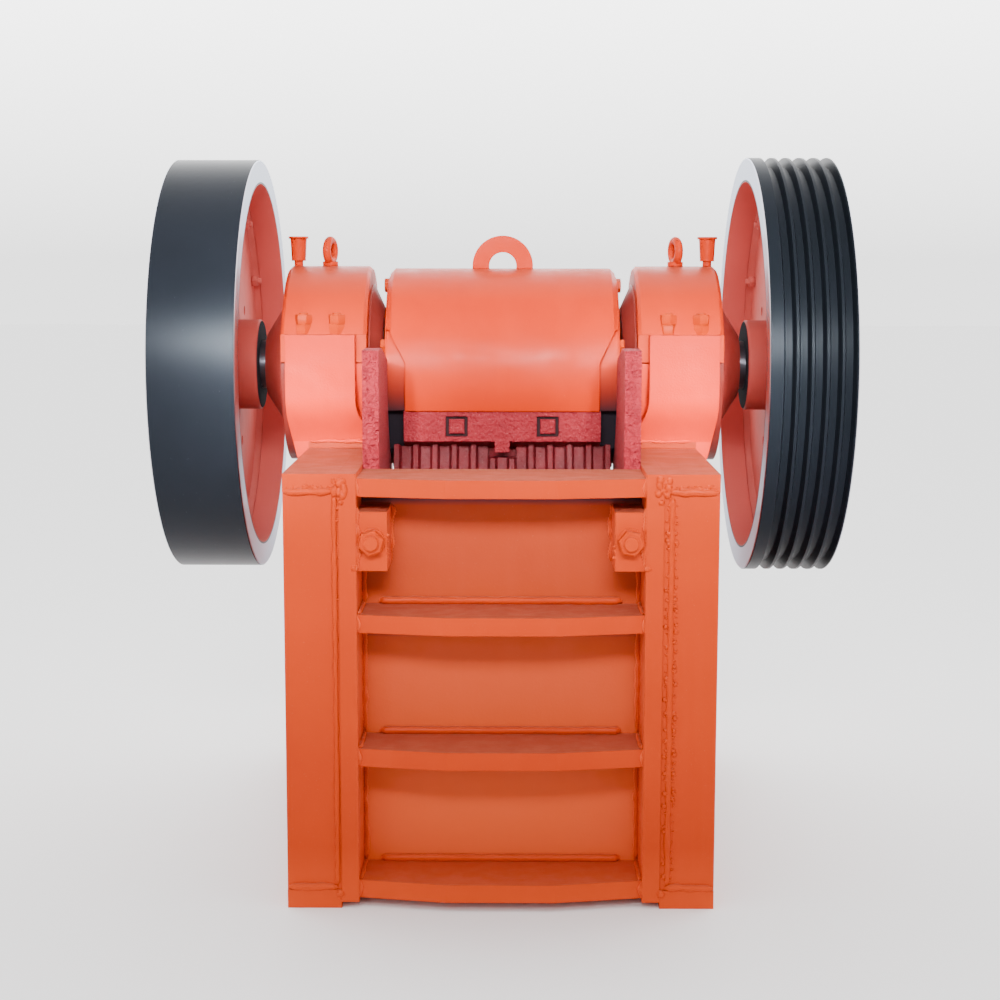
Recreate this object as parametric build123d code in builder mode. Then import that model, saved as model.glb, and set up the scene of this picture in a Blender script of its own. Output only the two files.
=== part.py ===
from build123d import *
import math
import os

# Jaw crusher with a welded plate frame, a swing jaw on an eccentric shaft,
# a plain flywheel on one end of the shaft and a grooved pulley on the other.
# Millimetres. X runs along the shaft, -Y is the front wall's side, Z is up.
# The origin is on the floor, at the centre of the four foot bolt holes.

os.makedirs("parts", exist_ok=True)

# Feed opening and jaw plates
feed_width = 400.0
cheek_thickness = 27.0
cheek_rise = 185.0
cheek_flat = 80.0
cheek_shoulder_drop = 35.0
cheek_shoulder_reach = 255.0
cheek_depth = 320.0
cheek_foot_drop = 143.0
cheek_hole_radius = 5.0
cheek_hole_reach = 160.0
cheek_hole_drop = 47.0
jaw_plate_backing = 30.0
tooth_height = 14.0
tooth_pitch = 34.0
tooth_count = 12
tooth_tip_width = 9.0
tooth_root_width = 17.0
jaw_plate_width = 384.0
jaw_plate_rise = 6.5
jaw_plate_bottom = 185.0
gape = 210.0
closed_setting = 36.0
fixed_plate_top_gap = 8.0
fixed_plate_bottom = 150.0
fixed_plate_width = 396.0

# Welded frame
frame_length = 960.0
frame_height = 703.0
side_thickness = 28.0
side_ground_gap = 10.0
side_flat_length = 852.0
side_rear_drop = 183.0
flange_width = 87.0
flange_thickness = 28.0
foot_thickness = 30.0
post_thickness = 20.0
post_recess = 3.0
side_rib_thickness = 20.0
side_rib_width = 75.0
side_rib_places = (-190.0, 61.0, 300.0)
foot_bolt_x = 302.0
foot_bolt_y = 360.0
foot_bolt_radius = 13.0

# Front wall with its four shelf ribs
wall_setback = 108.0
wall_thickness = 30.0
wall_drop = 8.0
rib_thickness = 29.0
rib_pitch = 217.0
rib_count = 4
rib_end_setback = 8.0
rib_bow = 25.0
rib_flat_half = 87.0
bracket_width = 48.0
bracket_height = 94.0
bracket_drop = 61.0
bracket_front_setback = 8.0
bracket_bolt_radius = 13.0

# Rear wall, its ribs and the toggle's adjusting gear
rear_wall_setback = 80.0
rear_wall_thickness = 30.0
rear_wall_drop = 20.0
rear_rib_pitch = 150.0
rear_rib_count = 3
rear_rib_depth = 48.0
rod_hole_radius = 24.0

# Shaft, bearings and housings
shaft_y = 61.0
shaft_rise = 139.0
eccentricity = 10.0
eccentric_radius = 66.0
eccentric_half = 204.0
journal_radius = 52.0
shaft_end_radius = 44.0
journal_end = 398.0
shaft_stub = 26.0
shaft_chamfer = 3.0
running_gap = 0.05
housing_inner = 237.0
housing_outer = 387.0
housing_radius = 180.0
housing_body_radius = 174.0
housing_chamfer = 6.0
split_gap = 2.0
cap_lug_height = 62.0
cap_lug_reach = 175.0
split_step = 14.0
split_step_reach = 140.0
upstand_x = 317.0
upstand_thickness = 15.0
upstand_half_width = 61.0
upstand_gap = 1.0
pedestal_neck_rise = 92.0
pedestal_foot_reach = 155.0
pedestal_pad = 12.0
pedestal_lip_drop = 28.0
pedestal_lip_x = 359.0
flange_side_gap = 0.5
foot_slope = 0.35
side_lean = 0.3
inner_cover_x = 215.0
inner_cover_radius = 146.0
inner_cover_tip_radius = 104.0
inner_cover_edge = 3.0
outer_cover_x = 430.0
outer_cover_radius = 116.0
outer_cover_tip_radius = 58.0
outer_cover_edge = 6.0
cover_bore_gap = 1.0
cover_side_gap = 2.0

# Grease cups and eye bolts on the caps
cup_x = 373.0
cup_neck_radius = 8.0
cup_neck_height = 9.0
cup_seat_radius = 13.0
cup_seat_height = 7.0
cup_body_radius = 13.2
cup_lid_radius = 15.0
cup_rim_radius = 18.0
cup_rim_height = 4.0
cup_height = 53.0
eye_x = 315.0
eye_ring_radius = 19.0
eye_bar_radius = 7.5
eye_collar_radius = 14.0
eye_collar_height = 8.0
eye_turn = 15.0

# Wheels
wheel_inner_x = 439.0
wheel_width = 147.0
flywheel_radius = 370.0
pulley_radius = 375.0
rim_thickness = 43.0
rim_chamfer = 2.0
web_setback = 57.0
web_thickness = 30.0
web_fillet = 12.0
web_hole_radius = 9.0
web_hole_circle = 177.0
web_hole_count = 4
web_hole_angle = 32.0
hub_radius = 82.0
hub_inset = 3.0
hub_length = 150.0
hub_chamfer = 3.0
counterweight_inner = 205.0
counterweight_outer = 312.0
counterweight_spread = 136.0
counterweight_thickness = 38.0
seat_gap = 0.05
groove_count = 5
groove_pitch = 25.0
groove_depth = 17.0
groove_top_width = 20.0
groove_root_width = 12.0
groove_first = 33.0

# Swing jaw
barrel_radius = 186.0
barrel_half = 203.0
barrel_chamfer = 8.0
barrel_boss_radius = 172.0
shoulder_top_half_width = 198.0
shoulder_top_rise = 79.0
shoulder_foot_half_width = 170.0
shoulder_foot_rise = 23.0
jaw_half_width = 168.0
jaw_wall = 48.0
jaw_rib_count = 4
jaw_rib_thickness = 26.0
pocket_floor_rise = 165.0
back_angle = 28.0
back_inset = 4.0
waist_reach = 23.0
waist_rise = 104.0
heel_y = -130.0
heel_drop = 20.0
swing_cover_thickness = 3.0
swing_cover_chamfer = 1.0
swing_cover_hub_radius = 105.0
swing_cover_hub_height = 4.0
clamp_half_width = 173.0
clamp_front_y = -110.0
clamp_top_drop = 72.0
clamp_back_top_y = -82.0
clamp_seat_reach = 60.0
clamp_seat_drop = 60.0
clamp_tab_width = 26.0
clamp_tab_height = 19.0
clamp_tab_thickness = 14.0
clamp_tab_root = 4.0
clamp_notch_width = 50.0
clamp_notch_depth = 24.0
clamp_bolt_x = 80.0
clamp_bolt_drop = 99.0
clamp_recess_width = 39.0
clamp_recess_height = 36.0
clamp_recess_depth = 8.0
lug_radius = 55.0
lug_rise = 4.0
lug_thickness = 30.0
lug_hole_radius = 25.0

# Toggle plate, tension rod and spring
toggle_front = (-43.0, 226.0)
toggle_rear = (172.0, 165.0)
toggle_thickness = 34.0
toggle_half_width = 165.0
seat_overhang = 5.0
seat_clearance = 0.3
seat_block_depth = 30.0
seat_block_height = 80.0
adjusting_block_depth = 120.0
adjusting_block_height = 130.0
adjusting_block_gap = 2.0
shim_height = 100.0
guide_bar_width = 40.0
guide_bar_thickness = 24.0
jaw_seat_depth = 20.0
jaw_seat_height = 96.0
jaw_seat_groove = 6.0
jaw_seat_groove_radius = 30.0
open_pivot_gap = 16.0
rod_y = -168.0
rod_z = 80.0
rod_radius = 13.0
pin_radius = 12.0
pin_overhang = 4.0
ear_radius = 26.0
ear_thickness = 16.0
ear_inner_x = 24.0
ear_root_reach = 6.0
rod_eye_thickness = 34.0
rod_eye_wall = 14.0
spring_length = 78.0
spring_coil_radius = 28.0
spring_wire_radius = 6.0
spring_turns = 5
spring_turn_steps = 12
washer_radius = 42.0
washer_thickness = 10.0
washer_bore_gap = 1.0
rod_nut_flats = 42.0
rod_nut_height = 20.0
rod_tail = 18.0
travel_clearance = 6.0

# Values worked out from the sizes above
front_y = -frame_length / 2
rear_y = frame_length / 2
side_inner = feed_width / 2 + cheek_thickness
side_outer = side_inner + side_thickness
side_rear_height = frame_height - side_rear_drop
side_flat_rear = front_y + side_flat_length
flange_mid = side_outer + flange_width / 2
wall_top = frame_height - wall_drop
wall_front_y = front_y + wall_setback
wall_rear_y = wall_front_y + wall_thickness
rear_wall_y = rear_y - rear_wall_setback
rear_wall_top = side_rear_height - rear_wall_drop
shaft_z = frame_height + shaft_rise
eccentric_z = shaft_z - eccentricity
shaft_half = wheel_inner_x + wheel_width + shaft_stub
barrel_top = eccentric_z + barrel_radius
clamp_top = shaft_z - clamp_top_drop
pin_z = rod_z - eccentricity

# The moving jaw plate leans back; its normal points at the fixed plate
fixed_face_y = wall_rear_y + jaw_plate_backing + tooth_height
jaw_top_y = fixed_face_y + gape
jaw_bottom_y = fixed_face_y + closed_setting
jaw_plate_top = frame_height + jaw_plate_rise
jaw_rise = jaw_plate_top - jaw_plate_bottom
jaw_run = jaw_top_y - jaw_bottom_y
jaw_length = math.hypot(jaw_rise, jaw_run)
jaw_normal = (0, -jaw_rise / jaw_length, jaw_run / jaw_length)
jaw_up = (0, jaw_run / jaw_length, jaw_rise / jaw_length)
jaw_thickness = jaw_plate_backing + tooth_height
clamp_bottom = jaw_plate_top + (jaw_top_y - clamp_front_y) * jaw_run / jaw_rise

shaft_axis = Axis((0, shaft_y, shaft_z), (1, 0, 0))
sides = {"left": -1, "right": 1}


def behind_face(along, depth):
    """A point in the YZ plane: along the moving jaw's face from its bottom, and behind it."""
    y = jaw_bottom_y + along * jaw_up[1] - depth * jaw_normal[1]
    z = jaw_plate_bottom + along * jaw_up[2] - depth * jaw_normal[2]
    return (y, z)


def tooth_profile(half_width, backing, count, pitch):
    """Outline of a jaw plate seen along its teeth: x across, y out to the tips."""
    points = [(-half_width, -backing), (-half_width, 0)]
    for i in range(count):
        middle = (i - (count - 1) / 2) * pitch
        left_root = max(middle - tooth_root_width / 2, -half_width)
        right_root = min(middle + tooth_root_width / 2, half_width)
        points += [(left_root, 0), (middle - tooth_tip_width / 2, tooth_height)]
        points += [(middle + tooth_tip_width / 2, tooth_height), (right_root, 0)]
    points += [(half_width, 0), (half_width, -backing)]
    unique = [points[0]]
    for point in points[1:]:
        if math.dist(point, unique[-1]) > 0.01:
            unique.append(point)
    return unique


def finish(piece, name):
    """Labels a finished piece and writes it out."""
    piece.part.label = name
    export_step(piece.part, f"parts/{name}.step")


# Side plates: flat along the top, sloping down behind the bearing housings
for name, side in sides.items():
    with BuildPart() as side_plate:
        with BuildSketch(Plane.YZ.offset(side * (side_inner + side_thickness / 2))):
            Polygon(
                (front_y, side_ground_gap),
                (front_y, frame_height),
                (side_flat_rear, frame_height),
                (rear_y, side_rear_height),
                (rear_y, side_ground_gap),
                align=None,
            )
        extrude(amount=side_thickness / 2, both=True)
    finish(side_plate, f"{name}_side_plate")

# Top flanges, welded to the side plates' outer faces and flush with their tops
with BuildPart() as top_flanges:
    with BuildSketch(Plane.XY.offset(frame_height - flange_thickness)):
        for side in sides.values():
            with Locations((side * flange_mid, (front_y + side_flat_rear) / 2)):
                Rectangle(flange_width, side_flat_length)
    extrude(amount=flange_thickness)
finish(top_flanges, "top_flanges")

# Foot plates, each with two bolt holes
with BuildPart() as feet:
    with BuildSketch():
        for side in sides.values():
            with Locations((side * flange_mid, 0)):
                Rectangle(flange_width, frame_length)
        with GridLocations(2 * foot_bolt_x, 2 * foot_bolt_y, 2, 2):
            Circle(foot_bolt_radius, mode=Mode.SUBTRACT)
    extrude(amount=foot_thickness)
finish(feet, "feet")

# Front posts: the upright plates that close the frame's front corners
post_height = frame_height - flange_thickness - foot_thickness
with BuildPart() as front_posts:
    with BuildSketch(Plane.XY.offset(foot_thickness)):
        for side in sides.values():
            with Locations((side * flange_mid, front_y + post_recess + post_thickness / 2)):
                Rectangle(flange_width, post_thickness)
    extrude(amount=post_height)
finish(front_posts, "front_posts")

# Upright ribs along the side plates, between the feet and the top flanges
with BuildPart() as side_ribs:
    with BuildSketch(Plane.XY.offset(foot_thickness)):
        for side in sides.values():
            for rib_y in side_rib_places:
                with Locations((side * (side_outer + side_rib_width / 2), rib_y)):
                    Rectangle(side_rib_width, side_rib_thickness)
    extrude(amount=post_height)
finish(side_ribs, "side_ribs")

# Rear posts, as tall as the side plates' rear edges
with BuildPart() as rear_posts:
    with BuildSketch(Plane.XY.offset(foot_thickness)):
        for side in sides.values():
            with Locations((side * flange_mid, rear_y - post_thickness / 2)):
                Rectangle(flange_width, post_thickness)
    extrude(amount=side_rear_height - foot_thickness)
finish(rear_posts, "rear_posts")

# Front wall and the four shelf ribs that stiffen it
wall_height = (rib_count - 1) * rib_pitch + rib_thickness
with BuildPart() as front_wall:
    with BuildSketch(Plane.XY.offset(wall_top - wall_height)):
        with Locations((0, wall_front_y + wall_thickness / 2)):
            Rectangle(2 * side_inner, wall_thickness)
    extrude(amount=wall_height)
finish(front_wall, "front_wall")

rib_end_y = front_y + rib_end_setback
with BuildPart() as front_ribs:
    for index in range(rib_count):
        rib_top = wall_top - index * rib_pitch
        with BuildSketch(Plane.XY.offset(rib_top - rib_thickness)):
            Polygon(
                (-side_inner, wall_front_y),
                (-side_inner, rib_end_y),
                (-rib_flat_half, rib_end_y - rib_bow),
                (rib_flat_half, rib_end_y - rib_bow),
                (side_inner, rib_end_y),
                (side_inner, wall_front_y),
                align=None,
            )
        extrude(amount=rib_thickness)
finish(front_ribs, "front_ribs")

# Corner brackets that take the bolts of the fixed jaw plate
bracket_z = frame_height - bracket_drop - bracket_height / 2
with BuildPart() as corner_brackets:
    with BuildSketch(Plane.XZ.offset(-wall_front_y)):
        for side in sides.values():
            with Locations((side * (side_inner - bracket_width / 2), bracket_z)):
                Rectangle(bracket_width, bracket_height)
                Circle(bracket_bolt_radius, mode=Mode.SUBTRACT)
    extrude(amount=wall_setback - bracket_front_setback)
finish(corner_brackets, "corner_brackets")

# Fixed jaw plate on the front wall's inner face, its teeth facing the swing jaw
fixed_outline = tooth_profile(fixed_plate_width / 2, jaw_plate_backing, tooth_count - 1, tooth_pitch)
with BuildPart() as fixed_jaw_plate:
    with BuildSketch(Plane((0, wall_rear_y + jaw_plate_backing, fixed_plate_bottom), x_dir=(1, 0, 0))):
        Polygon(*fixed_outline, align=None)
    extrude(amount=wall_top - fixed_plate_top_gap - fixed_plate_bottom)
finish(fixed_jaw_plate, "fixed_jaw_plate")

# Cheek plates line the sides of the crushing chamber and stand above the frame;
# their rear edges are cut round to clear the ends of the swing jaw's barrel
cheek_top = frame_height + cheek_rise
cheek_foot = frame_height - cheek_foot_drop
cheek_shoulder = cheek_top - cheek_shoulder_drop
cheek_clear_radius = barrel_boss_radius + eccentricity + travel_clearance
with BuildPart() as cheek_plates:
    for side in sides.values():
        with BuildSketch(Plane.YZ.offset(side * (side_inner - cheek_thickness / 2))):
            Polygon(
                (wall_rear_y, cheek_foot),
                (wall_rear_y, cheek_top),
                (wall_rear_y + cheek_flat, cheek_top),
                (wall_rear_y + cheek_shoulder_reach, cheek_shoulder),
                (wall_rear_y + cheek_depth, cheek_shoulder),
                (wall_rear_y + cheek_depth, cheek_foot),
                align=None,
            )
            with Locations((shaft_y, shaft_z)):
                Circle(cheek_clear_radius, mode=Mode.SUBTRACT)
            with Locations((wall_rear_y + cheek_hole_reach, cheek_top - cheek_hole_drop)):
                Circle(cheek_hole_radius, mode=Mode.SUBTRACT)
        extrude(amount=cheek_thickness / 2, both=True)
finish(cheek_plates, "cheek_plates")

# Rear wall with the hole that the tension rod passes through
with BuildPart() as rear_wall:
    with BuildSketch(Plane.XZ.offset(-rear_wall_y)):
        with Locations((0, (rear_wall_top + side_ground_gap) / 2)):
            Rectangle(2 * side_inner, rear_wall_top - side_ground_gap)
        with Locations((0, rod_z)):
            Circle(rod_hole_radius, mode=Mode.SUBTRACT)
    extrude(amount=-rear_wall_thickness)
finish(rear_wall, "rear_wall")

# Level ribs across the back of the rear wall
with BuildPart() as rear_ribs:
    for index in range(rear_rib_count):
        with BuildSketch(Plane.XY.offset(rear_wall_top - index * rear_rib_pitch - rib_thickness)):
            with Locations((0, rear_wall_y + rear_wall_thickness + rear_rib_depth / 2)):
                Rectangle(2 * side_inner, rear_rib_depth)
        extrude(amount=rib_thickness)
finish(rear_ribs, "rear_ribs")

# Adjusting block, shims and toggle seat at the rear wall
seat_front_y, seat_z = toggle_rear
block_front_y = seat_front_y + seat_block_depth
block_rear_y = block_front_y + adjusting_block_depth
with BuildPart() as adjusting_block:
    with BuildSketch(Plane.XZ.offset(-block_front_y)):
        with Locations((0, seat_z)):
            Rectangle(2 * (side_inner - adjusting_block_gap), adjusting_block_height)
    extrude(amount=-adjusting_block_depth)
finish(adjusting_block, "adjusting_block")

with BuildPart() as shim_pack:
    with BuildSketch(Plane.XZ.offset(-block_rear_y)):
        with Locations((0, seat_z)):
            Rectangle(2 * toggle_half_width, shim_height)
    extrude(amount=-(rear_wall_y - block_rear_y))
finish(shim_pack, "shim_pack")

# Guide bars on the side plates carry the adjusting block
with BuildPart() as guide_bars:
    for side in sides.values():
        with BuildSketch(Plane.XY.offset(seat_z - adjusting_block_height / 2 - guide_bar_thickness)):
            with Locations((side * (side_inner - guide_bar_width / 2), (block_front_y + rear_wall_y) / 2)):
                Rectangle(guide_bar_width, rear_wall_y - block_front_y)
        extrude(amount=guide_bar_thickness)
finish(guide_bars, "guide_bars")

# Toggle plate: rounded edges, the rear one in the seat's groove
toggle_run = toggle_rear[0] - toggle_front[0]
toggle_fall = toggle_front[1] - toggle_rear[1]
toggle_length = math.hypot(toggle_run, toggle_fall) + toggle_thickness
toggle_angle = -math.degrees(math.atan2(toggle_fall, toggle_run))
toggle_mid = ((toggle_front[0] + toggle_rear[0]) / 2, (toggle_front[1] + toggle_rear[1]) / 2)
with BuildPart() as toggle_plate:
    with BuildSketch(Plane.YZ):
        with Locations(Location(toggle_mid, toggle_angle)):
            SlotOverall(toggle_length, toggle_thickness)
    extrude(amount=toggle_half_width, both=True)
finish(toggle_plate, "toggle_plate")

with BuildPart() as frame_toggle_seat:
    with BuildSketch(Plane.YZ):
        with Locations((seat_front_y + seat_block_depth / 2, seat_z)):
            Rectangle(seat_block_depth, seat_block_height)
        with Locations(toggle_rear):
            Circle(toggle_thickness / 2 + seat_clearance, mode=Mode.SUBTRACT)
        with Locations(Location(toggle_mid, toggle_angle)):
            SlotOverall(toggle_length, toggle_thickness + 2 * seat_clearance, mode=Mode.SUBTRACT)
    extrude(amount=toggle_half_width + seat_overhang, both=True)
finish(frame_toggle_seat, "frame_toggle_seat")

# Bearing housings: a pedestal whose lip hangs beside the top flange, and a split cap;
# the split steps up in front and behind
foot_top = frame_height + pedestal_pad
neck_z = frame_height + pedestal_neck_rise
lug_top = shaft_z + cap_lug_height
lug_slot = cap_lug_reach + upstand_gap
neck_reach = lug_slot + upstand_thickness
flange_edge = side_outer + flange_width + flange_side_gap
lip_z = frame_height - pedestal_lip_drop
step_top = shaft_z + split_step
for name, side in sides.items():
    foot_inner = side * side_inner
    lip_inner = side * flange_edge
    lip_outer = side * pedestal_lip_x
    neck_inner = side * (upstand_x - upstand_half_width)
    neck_outer = side * (upstand_x + upstand_half_width)
    with BuildPart() as pedestal:
        # Outline along the frame
        with BuildSketch(Plane.YZ.offset(foot_inner)):
            with BuildLine():
                Polyline(
                    (shaft_y - pedestal_foot_reach, foot_top),
                    (shaft_y - pedestal_foot_reach, lip_z),
                    (shaft_y + pedestal_foot_reach, lip_z),
                    (shaft_y + pedestal_foot_reach, foot_top),
                )
                Spline(
                    (shaft_y + pedestal_foot_reach, foot_top),
                    (shaft_y + neck_reach, neck_z),
                    tangents=((foot_slope, 1), (0, 1)),
                )
                Polyline(
                    (shaft_y + neck_reach, neck_z),
                    (shaft_y + neck_reach, lug_top),
                    (shaft_y + lug_slot, lug_top),
                    (shaft_y + lug_slot, step_top),
                    (shaft_y + split_step_reach, step_top),
                    (shaft_y + split_step_reach, shaft_z),
                    (shaft_y - split_step_reach, shaft_z),
                    (shaft_y - split_step_reach, step_top),
                    (shaft_y - lug_slot, step_top),
                    (shaft_y - lug_slot, lug_top),
                    (shaft_y - neck_reach, lug_top),
                    (shaft_y - neck_reach, neck_z),
                )
                Spline(
                    (shaft_y - neck_reach, neck_z),
                    (shaft_y - pedestal_foot_reach, foot_top),
                    tangents=((0, -1), (foot_slope, -1)),
                )
            make_face()
        extrude(amount=side * (housing_outer - side_inner))
        # The front outline shifts inward, from the housing to the side plate
        with BuildSketch(Plane.XZ.offset(-shaft_y)):
            with BuildLine():
                Polyline(
                    (foot_inner, frame_height),
                    (lip_inner, frame_height),
                    (lip_inner, lip_z),
                    (lip_outer, lip_z),
                )
                Spline(
                    (lip_outer, lip_z),
                    (neck_outer, neck_z),
                    tangents=((side * side_lean, 1), (0, 1)),
                )
                Polyline(
                    (neck_outer, neck_z),
                    (neck_outer, lug_top),
                    (neck_inner, lug_top),
                    (neck_inner, neck_z),
                )
                Spline(
                    (neck_inner, neck_z),
                    (foot_inner, foot_top),
                    tangents=((0, -1), (-side * side_lean, -1)),
                )
                Line((foot_inner, foot_top), (foot_inner, frame_height))
            make_face()
        extrude(amount=neck_reach, both=True, mode=Mode.INTERSECT)
        # Round lower half of the housing, a narrow slit below the cap; it is flat on the
        # frame's top and full beside the flange
        for start, bottom in ((side * housing_inner, frame_height), (lip_inner, shaft_z - housing_radius)):
            body_height = step_top - split_gap - bottom
            with BuildSketch(Plane.YZ.offset(start)):
                with Locations((shaft_y, shaft_z)):
                    Circle(housing_body_radius)
                with Locations((shaft_y, bottom + body_height / 2)):
                    Rectangle(2 * housing_body_radius, body_height, mode=Mode.INTERSECT)
                with Locations((shaft_y, shaft_z - split_gap + split_step)):
                    Rectangle(2 * split_step_reach, 2 * split_step, mode=Mode.SUBTRACT)
            extrude(amount=side * housing_outer - start)
        with BuildSketch(Plane.YZ.offset(foot_inner)):
            with Locations((shaft_y, shaft_z)):
                Circle(journal_radius + running_gap)
        extrude(amount=side * (housing_outer - side_inner), mode=Mode.SUBTRACT)
        # Room for the inner cover
        with BuildSketch(Plane.YZ.offset(foot_inner)):
            with Locations((shaft_y, shaft_z)):
                Circle(inner_cover_radius + cover_side_gap)
        extrude(amount=side * (housing_inner - side_inner), mode=Mode.SUBTRACT)
    finish(pedestal, f"{name}_pedestal")

    # Cap: the upper half of the housing, with a bolting lug in front and behind
    with BuildPart() as cap:
        with BuildSketch(Plane.YZ.offset(side * housing_inner)):
            with Locations((shaft_y, shaft_z)):
                Circle(housing_radius)
            with Locations((shaft_y, shaft_z + housing_radius / 2)):
                Rectangle(2 * cap_lug_reach, housing_radius, mode=Mode.INTERSECT)
            with Locations((shaft_y, shaft_z + cap_lug_height / 2)):
                Rectangle(2 * cap_lug_reach, cap_lug_height)
            with Locations((shaft_y, shaft_z + split_step / 2)):
                with GridLocations(split_step_reach + cap_lug_reach, 0, 2, 1):
                    Rectangle(cap_lug_reach - split_step_reach, split_step, mode=Mode.SUBTRACT)
            with Locations((shaft_y, shaft_z)):
                Circle(journal_radius + running_gap, mode=Mode.SUBTRACT)
        extrude(amount=side * (housing_outer - housing_inner))
        round_edges = cap.edges().filter_by(GeomType.CIRCLE).filter_by(lambda e: e.radius > cap_lug_reach)
        chamfer(round_edges, housing_chamfer)
    finish(cap, f"{name}_cap")

# Inner and outer covers close the housings round the shaft
cover_bore = shaft_z + journal_radius + cover_bore_gap
with BuildPart() as inner_covers:
    with BuildSketch(Plane.XZ.offset(-shaft_y)):
        for side in sides.values():
            Polygon(
                (side * inner_cover_x, cover_bore),
                (side * inner_cover_x, shaft_z + inner_cover_tip_radius),
                (side * (housing_inner - inner_cover_edge), shaft_z + inner_cover_radius),
                (side * housing_inner, shaft_z + inner_cover_radius),
                (side * housing_inner, cover_bore),
                align=None,
            )
    revolve(axis=shaft_axis)
    # Cut flat just over the frame's top
    with BuildSketch(Plane.XY.offset(frame_height + cover_bore_gap)):
        with Locations((0, shaft_y)):
            Rectangle(2 * housing_outer, 2 * inner_cover_radius)
    extrude(amount=-inner_cover_radius, mode=Mode.SUBTRACT)
finish(inner_covers, "inner_covers")

with BuildPart() as outer_covers:
    with BuildSketch(Plane.XZ.offset(-shaft_y)):
        for side in sides.values():
            Polygon(
                (side * housing_outer, cover_bore),
                (side * housing_outer, shaft_z + outer_cover_radius),
                (side * (housing_outer + outer_cover_edge), shaft_z + outer_cover_radius),
                (side * outer_cover_x, shaft_z + outer_cover_tip_radius),
                (side * outer_cover_x, cover_bore),
                align=None,
            )
    revolve(axis=shaft_axis)
finish(outer_covers, "outer_covers")

# Grease cups on the caps: neck, seat, tapered body and a rimmed lid
cap_top = shaft_z + housing_radius
seat_z_low = cap_top + cup_neck_height
body_z_low = seat_z_low + cup_seat_height
rim_z_low = cap_top + cup_height - cup_rim_height
with BuildPart() as grease_cups:
    for side in sides.values():
        middle = side * cup_x
        with BuildSketch(Plane.XZ.offset(-shaft_y)):
            Polygon(
                (middle, cap_top),
                (middle + cup_neck_radius, cap_top),
                (middle + cup_neck_radius, seat_z_low),
                (middle + cup_seat_radius, seat_z_low),
                (middle + cup_seat_radius, body_z_low),
                (middle + cup_body_radius, body_z_low),
                (middle + cup_lid_radius, rim_z_low),
                (middle + cup_rim_radius, rim_z_low),
                (middle + cup_rim_radius, cap_top + cup_height),
                (middle, cap_top + cup_height),
                align=None,
            )
        revolve(axis=Axis((middle, shaft_y, shaft_z), (0, 0, 1)))
finish(grease_cups, "grease_cups")

# Eye bolts on the caps, each ring turned a little about its shank
eye_z = cap_top + eye_collar_height + eye_ring_radius
with BuildPart() as cap_eyes:
    for side in sides.values():
        turn = math.radians(eye_turn)
        ring_axis = (math.cos(turn), side * math.sin(turn), 0)
        with Locations(Plane(origin=(side * eye_x, shaft_y, eye_z), z_dir=ring_axis)):
            Torus(eye_ring_radius, eye_bar_radius)
        with Locations((side * eye_x, shaft_y, cap_top)):
            Cylinder(
                eye_collar_radius,
                eye_collar_height,
                align=(Align.CENTER, Align.CENTER, Align.MIN),
            )
finish(cap_eyes, "cap_eyes")

# Eccentric shaft: its middle is set off from the axis of its ends
with BuildPart() as eccentric_shaft:
    with BuildSketch(Plane.YZ):
        with Locations((shaft_y, eccentric_z)):
            Circle(eccentric_radius)
    extrude(amount=eccentric_half, both=True)
    with BuildSketch(Plane.YZ):
        with Locations((shaft_y, shaft_z)):
            Circle(journal_radius)
    extrude(amount=journal_end, both=True)
    with BuildSketch(Plane.YZ):
        with Locations((shaft_y, shaft_z)):
            Circle(shaft_end_radius)
    extrude(amount=shaft_half, both=True)
    end_edges = eccentric_shaft.edges().group_by(Axis.X)
    chamfer(end_edges[0] + end_edges[-1], shaft_chamfer)
finish(eccentric_shaft, "eccentric_shaft")

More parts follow.
